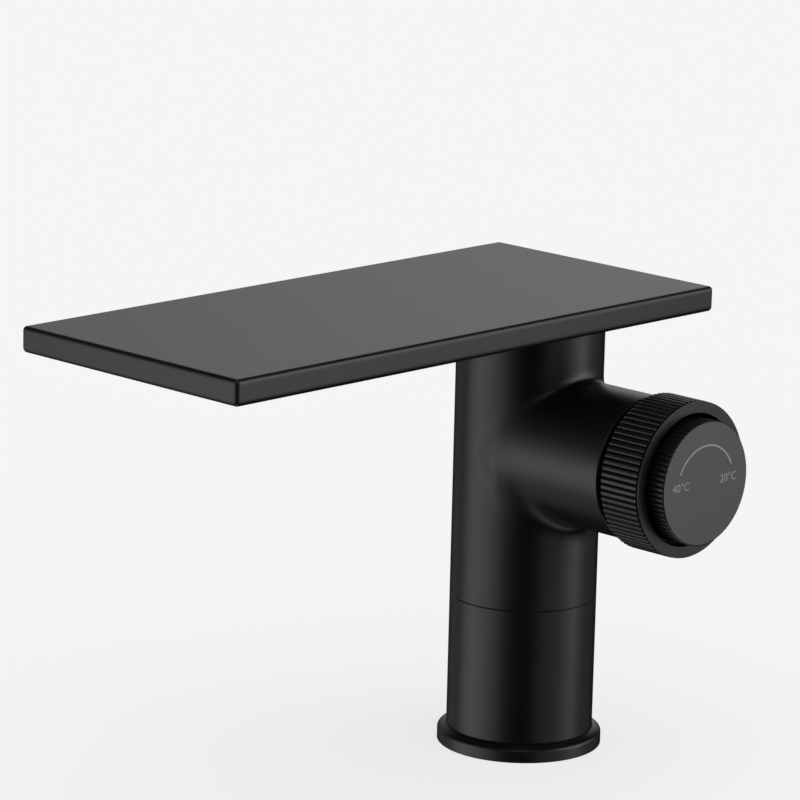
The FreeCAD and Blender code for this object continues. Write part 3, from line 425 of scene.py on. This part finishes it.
# For each open end, its axis and the (radius, place) of each ring between the two skins.
end_rings = [
    (OUTWARDS, [(BRANCH_RADIUS - MOUTH_CHAMFER, branch_end)]),
    (UPWARDS, [(NIPPLE_HOLE, body_top), (NIPPLE_HOLE, body_top - TOP_WALL)]),
    (UPWARDS, [(COLUMN_RADIUS - SEAM_CHAMFER, seam), (spigot, seam), (spigot, spigot_end),
               (spigot - BODY_WALL, spigot_end), (spigot - BODY_WALL, seam + SPIGOT_STEP)]),
]
body_points = [outer_points, inner_points]
body_faces = outer_faces + (np.array(inner_faces) + len(outer_points)).tolist()
count = len(outer_points) + len(inner_points)
for outer_end, inner_end, (axis, rings) in zip(outer_ends, inner_ends, end_rings):
    centre = branch_height * UPWARDS * axis[0]
    spokes = (outer_points[outer_end] - centre) * (1 - axis)
    spokes /= np.linalg.norm(spokes, axis=1, keepdims=True)
    rows = [outer_end]
    for radius, place in rings:
        body_points.append(centre + radius * spokes + place * axis)
        rows.append(count + np.arange(len(spokes)))
        count += len(spokes)
    rows.append(inner_end + len(outer_points))
    body_faces += strips(np.array(rows))
solid_piece("blended_upper_body", np.concatenate(body_points), body_faces, black_coat,
            "mixer_body", ["upper_body"])

# %% [markdown]
# ## Fluted controls
# The ring and the knob are turned bars with straight round ribs rolled into their rims, and
# a sharp groove lies between each two. An Array of single ribs could be laid round a
# cylinder, but one closed skin is cleaner: a lathe profile gives radius against distance, a
# wave gives depth against angle, and the skin takes the lower of the two. A chamfer or a
# groove in the profile then cuts the ribs as a tool does on the real piece.

# %% Flute helpers
RIB_STEPS, RIB_POWER = 14, 4


def flute_angles(count):
    """Angles round the rim, the same number of steps on each rib."""
    return np.arange(count * RIB_STEPS) * 2 * math.pi / (count * RIB_STEPS)


def flute_wave(angles, count):
    """Depth below the rim: 0 on a rib's crest, 1 in the groove beside it, by a fourth power."""
    across = 2 * ((angles * count / (2 * math.pi)) % 1) - 1
    return across ** RIB_POWER


def fluted_skin(profile, fluted_rows, rim, depth, count):
    """Points of a bar about the control axis: the lower of lathe profile and flute wave."""
    angles = flute_angles(count)
    along = profile[:, 0:1] + 0 * angles
    out = profile[:, 1:2] + 0 * angles
    cut = rim - depth * flute_wave(angles, count)
    out = np.where(fluted_rows[:, None], np.minimum(out, cut), out)
    return np.stack([along, out * np.sin(angles), branch_height + out * np.cos(angles)], axis=-1)


# %% Flow ring's profile
RING_WEB = (5.0, 9.0)
RING_RELIEF = 2.7
RELIEF_RADIUS, RELIEF_BORE = 19.3, 17.7
RECESS_RADIUS = 20.0
NECK_RADIUS = 7.6
RING_LIP, RING_LIP_DROP, RING_GROOVE = 0.3, 0.1, 0.5
RING_FLUTES, RING_FLUTE_DEPTH = 76, 0.8
RING_EDGE, COARSE_STEPS = 0.25, 5
ring_back, ring_front = low("flow_ring")[0], high("flow_ring")[0]
ring_rim = (high("flow_ring")[2] - low("flow_ring")[2]) / 2
groove_back, lip_back = ring_front - RING_LIP - RING_GROOVE, ring_front - RING_LIP
ring_corners = [
    (ring_back + RING_WEB[0], NECK_RADIUS, 0),
    (ring_back + RING_WEB[0], RELIEF_BORE, 0),
    (ring_back, RELIEF_BORE, 0.5),
    (ring_back, RELIEF_RADIUS, 0.5),
    (ring_back + RING_RELIEF, RELIEF_RADIUS, 0),
    (ring_back + RING_RELIEF, ring_rim, 1),
    (groove_back, ring_rim, 0.4),
    (groove_back, ring_rim - RING_FLUTE_DEPTH, 0),
    (lip_back, ring_rim - RING_FLUTE_DEPTH, 0),
    (lip_back, ring_rim - RING_LIP_DROP, 0.3),
    (ring_front, ring_rim - RING_LIP_DROP, 0.3),
    (ring_front, RECESS_RADIUS, 0.8),
    (ring_back + RING_WEB[1], RECESS_RADIUS, 0),
    (ring_back + RING_WEB[1], NECK_RADIUS, 0),
]
ring_profile = rounded(ring_corners, RING_EDGE, COARSE_STEPS)
print("ring", round(2 * ring_rim, 2), "mm across,", RING_FLUTES, "ribs")

# %% Flow ring
FLUTE_MARGIN = 0.2
ring_along, ring_out = ring_profile.T
ring_outside = (ring_out > RELIEF_RADIUS + FLUTE_MARGIN) & (ring_along < lip_back - WELD)
ring_grid = fluted_skin(ring_profile, ring_outside, ring_rim, RING_FLUTE_DEPTH, RING_FLUTES)
new_piece("fluted_flow_ring", ring_grid, black_coat, "flow_control", ["flow_ring"],
          wrap_rows=True)

# %% Temperature knob's profile
KNOB_CHAMFER, KNOB_EDGE = 0.3, 0.2
KNOB_CAVITY, KNOB_CEILING = 14.8, 5.2
BOSS_RADIUS, BOSS_SETBACK = 7.0, 1.8
FACE_CENTRE = 0.05
KNOB_FLUTES, KNOB_FLUTE_DEPTH = 72, 0.5
knob_back, knob_front = low("temperature_knob")[0], high("temperature_knob")[0]
knob_rim = (high("temperature_knob")[2] - low("temperature_knob")[2]) / 2
knob_corners = [
    (knob_back + BOSS_SETBACK, FACE_CENTRE, 0),
    (knob_back + BOSS_SETBACK, BOSS_RADIUS, 0),
    (knob_front - KNOB_CEILING, BOSS_RADIUS, 0),
    (knob_front - KNOB_CEILING, KNOB_CAVITY, 0),
    (knob_back, KNOB_CAVITY, 0),
    (knob_back, knob_rim, 1),
    (knob_front - KNOB_CHAMFER, knob_rim, 0.5),
    (knob_front, knob_rim - KNOB_CHAMFER, 0.5),
    (knob_front, FACE_CENTRE, 0),
]
knob_profile = rounded(knob_corners, KNOB_EDGE, COARSE_STEPS)
print("knob", round(2 * knob_rim, 2), "mm across,", KNOB_FLUTES, "ribs")

# %% Temperature knob
knob_outside = knob_profile[:, 1] > knob_rim - 2 * KNOB_CHAMFER
knob_grid = fluted_skin(knob_profile, knob_outside, knob_rim, KNOB_FLUTE_DEPTH, KNOB_FLUTES)
knob_mesh = new_piece("fluted_temperature_knob", knob_grid, black_coat, "temperature_control",
                      ["temperature_knob"])
knob_mesh.materials.append(knob_face)
middles = np.empty(len(knob_mesh.polygons) * 3)
knob_mesh.polygons.foreach_get("center", middles)
on_face = middles.reshape(-1, 3)[:, 0] > (knob_front - WELD) * MM
knob_mesh.polygons.foreach_set("material_index", on_face.astype(int))
print(on_face.sum(), "of the knob's faces are graphite")

# %% [markdown]
# ## Spout plate
# The plate is a thin hollow tray turned over: water runs inside it to a slit near the lip. A
# cube with a Bevel could give the outside. Here a rounded rectangle is carried along a
# profile that runs over the top edge, down the side, under the rim and up into the hollow,
# so the inside comes with it. Each step of the profile draws the outline in by some inset,
# and corners stay round until the inset passes the corner radius.

# %% Outline of the plate
CORNER_RADIUS, CORNER_STEPS = 1.4, 12
plate_low, plate_high = low("spout_shell"), high("spout_shell")


def plate_outline(inset):
    """Points round the plate's outline, each drawn in by an inset.

    A corner's centre lies at the larger of inset and corner radius from both sides. From
    there the outline runs at what is left of the radius.
    """
    drawn_in = np.maximum(inset, CORNER_RADIUS)[:, None]
    left = np.maximum(CORNER_RADIUS - inset, 0)[:, None]
    turn = np.linspace(0, math.pi / 2, CORNER_STEPS)
    angles = np.concatenate([turn + quarter * math.pi / 2 for quarter in range(4)])
    right = np.repeat([True, False, False, True], CORNER_STEPS)
    rear = np.repeat([True, True, False, False], CORNER_STEPS)
    x = np.where(right, plate_high[0] - drawn_in, plate_low[0] + drawn_in) + left * np.cos(angles)
    y = np.where(rear, plate_high[1] - drawn_in, plate_low[1] + drawn_in) + left * np.sin(angles)
    return x, y


print("plate", (plate_high - plate_low).round(1), "mm")

# %% Spout shell
EDGE_RADIUS, FOOT_SHARE, RIM_SHARE, FINE_STEPS = 1.4, 1.2, 0.15, 9
PLATE_RIM, PLATE_LEDGE, PLATE_SKIN = 3.0, 1.5, 2.2
LEDGE_HEIGHT = 2.5
TOP_INSET = 8.0
shell_corners = [
    (TOP_INSET, plate_high[2], 0),
    (0.0, plate_high[2], 1),
    (0.0, plate_low[2], FOOT_SHARE),
    (PLATE_RIM, plate_low[2], RIM_SHARE),
    (PLATE_RIM, plate_low[2] + LEDGE_HEIGHT, 0),
    (PLATE_RIM + PLATE_LEDGE, plate_low[2] + LEDGE_HEIGHT, 0),
    (PLATE_RIM + PLATE_LEDGE, plate_high[2] - PLATE_SKIN, 0),
]
shell_profile = rounded(shell_corners, EDGE_RADIUS, FINE_STEPS)
shell_x, shell_y = plate_outline(shell_profile[:, 0])
shell_grid = np.stack([shell_x, shell_y, shell_profile[:, 1:2] + 0 * shell_x], axis=-1)
new_piece("spout_plate_shell", shell_grid, black_coat, "mixer_body", ["spout_shell"])

# %% [markdown]
# ## Base flange
# A turned ring carries the column on the deck. Its rim is upright, and its top slopes up to
# the column. The slope mirrors the dim ceiling, so it reads as a dark band round the foot. A
# Screw modifier could spin the profile, but the rounding helper above already gives points
# for one, and a circle of angles is all that is left to add.

# %% Turned flange
FLANGE_SEAT, FLANGE_BORE, FLANGE_ROUND = 2.0, 18.1, 0.63
SHOULDER_DROP, SLOPE_DROP, SHOULDER_WIDTH = 1.5, 0.6, 1.1
FOOT_GAP = 0.1
flange_radius, flange_top = high("base_flange")[0], high("base_flange")[2]
foot_radius = COLUMN_RADIUS + FOOT_GAP
flange_corners = [
    (0.0, FLANGE_BORE, 0),
    (0.0, flange_radius, 0.3),
    (flange_top - SHOULDER_DROP, flange_radius, 1),
    (flange_top - SLOPE_DROP, flange_radius - SHOULDER_WIDTH, 1),
    (flange_top, foot_radius, 0.15),
    (FLANGE_SEAT, foot_radius, 0),
    (FLANGE_SEAT, FLANGE_BORE, 0),
]
flange_profile = rounded(flange_corners, FLANGE_ROUND, FINE_STEPS)
round_angles = np.linspace(0, 2 * math.pi, AROUND, endpoint=False)
flange_out = flange_profile[:, 1:2] + 0 * round_angles
flange_grid = np.stack([
    flange_out * np.cos(round_angles), flange_out * np.sin(round_angles),
    flange_profile[:, 0:1] + 0 * round_angles], axis=-1)
new_piece("turned_base_flange", flange_grid, black_coat, "mixer_body", ["base_flange"],
          wrap_rows=True)

# %% [markdown]
# ## Dial print
# A fine arc runs over the top of the knob's face, and a small number stands at each end. On
# the real knob such marks are printed. An image could hold them, but real shapes stay sharp
# at any distance, so they are thin solids a few hundredths of a millimetre proud of the face.

# %% Arc
PRINT = 0.03
ARC_RADIUS, ARC_WIDTH, ARC_HALF_ANGLE, ARC_DROP = 12.6, 0.55, 65, 1.1
ARC_STEPS = 121
arc_angles = np.radians(np.linspace(-ARC_HALF_ANGLE, ARC_HALF_ANGLE, ARC_STEPS))[:, None]
section_high, section_out = np.array([(0, -0.5), (1, -0.5), (1, 0.5), (0, 0.5)]).T
arc_out = ARC_RADIUS + ARC_WIDTH * section_out + 0 * arc_angles
arc_grid = np.stack([
    knob_front + PRINT * section_high + 0 * arc_angles, arc_out * np.sin(arc_angles),
    branch_height - ARC_DROP + arc_out * np.cos(arc_angles)], axis=-1)
new_piece("dial_arc_print", arc_grid, dial_paint, "temperature_control", ["dial_arc"])

# %% Numbers at the arc's ends
NUMBER_HEIGHT, NUMBER_RISE = 2.5, 0.3
HOT_ACROSS, COLD_ACROSS = -10.9, 10.2
# A figure of the built-in font is about this share of the font's size tall.
FIGURE_SHARE = 0.7


def printed_number(name, text, across):
    """A number on the knob's face, made a mesh: its flat outline is laid in the face's plane."""
    curve = bpy.data.curves.new(name, "FONT")
    curve.body = text
    curve.size = NUMBER_HEIGHT / FIGURE_SHARE
    curve.align_x = "CENTER"
    curve.align_y = "CENTER"
    curve.extrude = PRINT / 2
    writer = in_scene(name + "_curve", curve)
    bpy.context.view_layer.update()
    drawn = writer.evaluated_get(bpy.context.evaluated_depsgraph_get())
    mesh = bpy.data.meshes.new_from_object(drawn)
    bpy.data.objects.remove(writer)
    flat = np.empty(len(mesh.vertices) * 3)
    mesh.vertices.foreach_get("co", flat)
    u, v, w = flat.reshape(-1, 3).T
    placed = np.stack([
        knob_front + PRINT / 2 + w, across + u, branch_height + NUMBER_RISE + v], axis=-1)
    mesh.vertices.foreach_set("co", (placed * MM).ravel())
    tidy_mesh(mesh)
    mesh.materials.clear()
    mesh.materials.append(dial_paint)
    mesh.name = name
    piece = in_scene(name, mesh)
    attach(piece, "temperature_control")
    print(name, len(mesh.polygons), "faces")


printed_number("hot_number", "40°C", HOT_ACROSS)
printed_number("cold_number", "20°C", COLD_ACROSS)

# %% [markdown]
# ## Studio floor
# The tap stands on a pale, plain table. A large white plane under strong light would do, but
# it would also fill the black coat with its own reflection. So most of what the eye sees of
# this floor is its own glow, and the rest takes the tap's soft shadow. The floor is left out
# of reflections and bounced light: what the coat mirrors comes from the sky alone. From
# below it is clear, to show the underside.

# %% Floor's finish
GLOW_SHARE, FLOOR_ROUGHNESS = 0.75, 0.9
# Matte white table top: even and pale, without a shine.
pale_floor, tree, shader = finish("pale_floor", "#F3F3F3", FLOOR_ROUGHNESS,
                                  Specular_IOR_Level=0.0)
path = add(tree, "ShaderNodeLightPath").outputs
seen = add(tree, "ShaderNodeMath", {0: path["Is Camera Ray"], 1: path["Is Glossy Ray"]},
           operation="ADD")
seen = add(tree, "ShaderNodeMath", {0: seen.outputs["Value"], 1: path["Is Transmission Ray"]},
           operation="ADD", use_clamp=True)
share = add(tree, "ShaderNodeMath", {0: seen.outputs["Value"], 1: GLOW_SHARE},
            operation="MULTIPLY")
glow = add(tree, "ShaderNodeEmission", {"Color": linear("#F9F9F9"), "Strength": 1.0})
top = add(tree, "ShaderNodeMixShader", {
    0: share.outputs["Value"], 1: shader.outputs["BSDF"], 2: glow.outputs["Emission"]})
facing = add(tree, "ShaderNodeNewGeometry")
clear = add(tree, "ShaderNodeBsdfTransparent")
both = add(tree, "ShaderNodeMixShader", {
    0: facing.outputs["Backfacing"], 1: top.outputs["Shader"], 2: clear.outputs["BSDF"]})
tree.links.new(both.outputs["Shader"], tree.nodes["Material Output"].inputs["Surface"])
print("floor finish:", pale_floor.name)

# %% Floor
FLOOR_SIZE, FLOOR_DROP = 12.0, 0.00005
square = np.array([(-1, -1, 0), (1, -1, 0), (1, 1, 0), (-1, 1, 0)])
floor_mesh = bpy.data.meshes.new("floor")
floor_mesh.from_pydata((FLOOR_SIZE / 2 * square - (0, 0, FLOOR_DROP)).tolist(), [],
                       [(0, 1, 2, 3)])
floor_mesh.materials.append(pale_floor)
floor = in_scene("floor", floor_mesh)
# No reflected ray meets the floor, so the glossy ray in its finish has no effect here.
floor.visible_diffuse = floor.visible_glossy = floor.visible_shadow = False
print("floor", FLOOR_SIZE, "m wide")

# %% [markdown]
# ## Light
# A black coat shows hardly anything but what it mirrors, so its light is a set of soft
# windows in a dark sky, as a photographer stands pale cards round a table. The upright
# column seen from a little above mirrors what lies below the horizon: those are the low
# windows. Their places and strengths are matched to the bands of sheen on the real tap. Area
# lamps could stand in their place, but a sky is the same from every point, so no lamp shows
# its edge. The eye sees a pale sky instead, and a soft lamp, left out of reflections, lights
# the dull surfaces.

# %% Soft windows
# Each has its azimuth from the front towards the controls, its elevation and the angle at
# which it has faded to nothing, all in degrees, and the strength at its centre.
WINDOWS = [
    ("overhead", 0.0, 90.0, 34.0, 0.4),
    ("below", 0.0, -90.0, 36.0, 0.6),
    ("front", 44.3, 31.0, 22.0, 0.45),
    ("far_left", -55.7, 14.0, 26.0, 0.1),
    ("left", -25.7, 14.0, 26.0, 0.38),
    ("right", 114.3, 14.0, 26.0, 1.38),
    ("far_right", 144.3, 14.0, 26.0, 0.98),
    ("rear_right", 210.3, 14.0, 22.0, 0.3),
    ("rear", 224.3, 14.0, 22.0, 0.555),
    ("rear_left", 258.0, 16.0, 20.0, 0.35),
    ("low_far_left", -90.7, -14.0, 24.0, 0.17),
    ("low_left_end", -45.7, -14.0, 24.0, 0.83),
    ("low_left", -27.7, -14.0, 24.0, 0.46),
    ("low_left_front", -9.7, -14.0, 24.0, 0.57),
    ("low_front_left", 8.3, -14.0, 24.0, 0.11),
    ("low_front_right", 84.3, -14.0, 24.0, 0.27),
    ("low_right", 124.3, -14.0, 24.0, 0.47),
    ("low_right_end", 131.3, -4.0, 15.0, 0.95),
    ("low_far_right", 169.3, -14.0, 24.0, 0.1),
    ("under_left", -61.7, -40.0, 26.0, 0.26),
]
print(len(WINDOWS), "windows")

# %% Sky


def towards(azimuth, elevation):
    """Unit vector at an azimuth from -Y towards +X and an elevation, both in degrees."""
    turn, rise = math.radians(azimuth), math.radians(elevation)
    return np.array([math.sin(turn) * math.cos(rise), -math.cos(turn) * math.cos(rise),
                     math.sin(rise)])


world = bpy.data.worlds.new("studio_sky")
bpy.context.scene.world = world
world.use_nodes = True
tree = world.node_tree
direction = add(tree, "ShaderNodeTexCoord").outputs["Generated"]
total = 0.0
for name, azimuth, elevation, reach, strength in WINDOWS:
    nearness = add(tree, "ShaderNodeVectorMath", {
        0: direction, 1: towards(azimuth, elevation).tolist()}, operation="DOT_PRODUCT")
    window = add(tree, "ShaderNodeMapRange", {
        "Value": nearness.outputs["Value"], "From Min": math.cos(math.radians(reach)),
        "From Max": 1.0, "To Max": strength}, interpolation_type="SMOOTHSTEP")
    total = add(tree, "ShaderNodeMath", {0: window.outputs["Result"], 1: total},
                operation="ADD", name=name).outputs["Value"]
background = tree.nodes["Background"]
background.inputs["Color"].default_value = linear("#FFFFFF")
tree.links.new(total, background.inputs["Strength"])
pale_sky = add(tree, "ShaderNodeBackground", {"Color": linear("#F3F3F3"), "Strength": 1.0})
path = add(tree, "ShaderNodeLightPath").outputs
sky = add(tree, "ShaderNodeMixShader", {
    0: path["Is Camera Ray"], 1: background.outputs["Background"],
    2: pale_sky.outputs["Background"]})
tree.links.new(sky.outputs["Shader"], tree.nodes["World Output"].inputs["Surface"])
print("sky:", world.name)

# %% Soft lamp for the dull surfaces
LAMP_STRENGTH, LAMP_SPREAD = 2.6, 110
LAMP_AZIMUTH, LAMP_ELEVATION = 44.3, 64.0
lamp_data = bpy.data.lights.new("soft_lamp", "SUN")
lamp_data.energy = LAMP_STRENGTH
lamp_data.angle = math.radians(LAMP_SPREAD)
lamp = in_scene("soft_lamp", lamp_data)
lamp.rotation_euler = (math.radians(90 - LAMP_ELEVATION), 0.0, math.radians(LAMP_AZIMUTH))
lamp.visible_glossy = False
print("lamp:", lamp.name, LAMP_STRENGTH)

# %% [markdown]
# ## Camera
# A long lens from the front right, a little above the plate. The camera is placed by its
# azimuth, elevation and distance from a point it looks at, and rolled slightly. A Track To
# constraint could aim it, but three axes written out also take the roll.

# %% Camera
AZIMUTH, ELEVATION, ROLL = 44.324, 13.25, 1.374
AIM = np.array([-23.4, -32.0, 108.0])
DISTANCE = 1318.7
LENS, SENSOR = 196.45, 36.0
back = towards(AZIMUTH, ELEVATION)
turn, roll = math.radians(AZIMUTH), math.radians(ROLL)
level_right = np.array([math.cos(turn), math.sin(turn), 0.0])
level_up = np.cross(back, level_right)
right = math.cos(roll) * level_right + math.sin(roll) * level_up
up = math.cos(roll) * level_up - math.sin(roll) * level_right
eye = AIM + DISTANCE * back
camera_data = bpy.data.cameras.new("camera")
camera_data.lens = LENS
camera_data.sensor_width = SENSOR
camera = in_scene("camera", camera_data)
placement = np.eye(4)
placement[:3] = np.stack([right, up, back, eye * MM], axis=-1)
camera.matrix_world = placement.T.tolist()
bpy.context.scene.camera = camera
bpy.context.scene.view_settings.view_transform = "Standard"
print("camera at", eye.round(1), "mm")
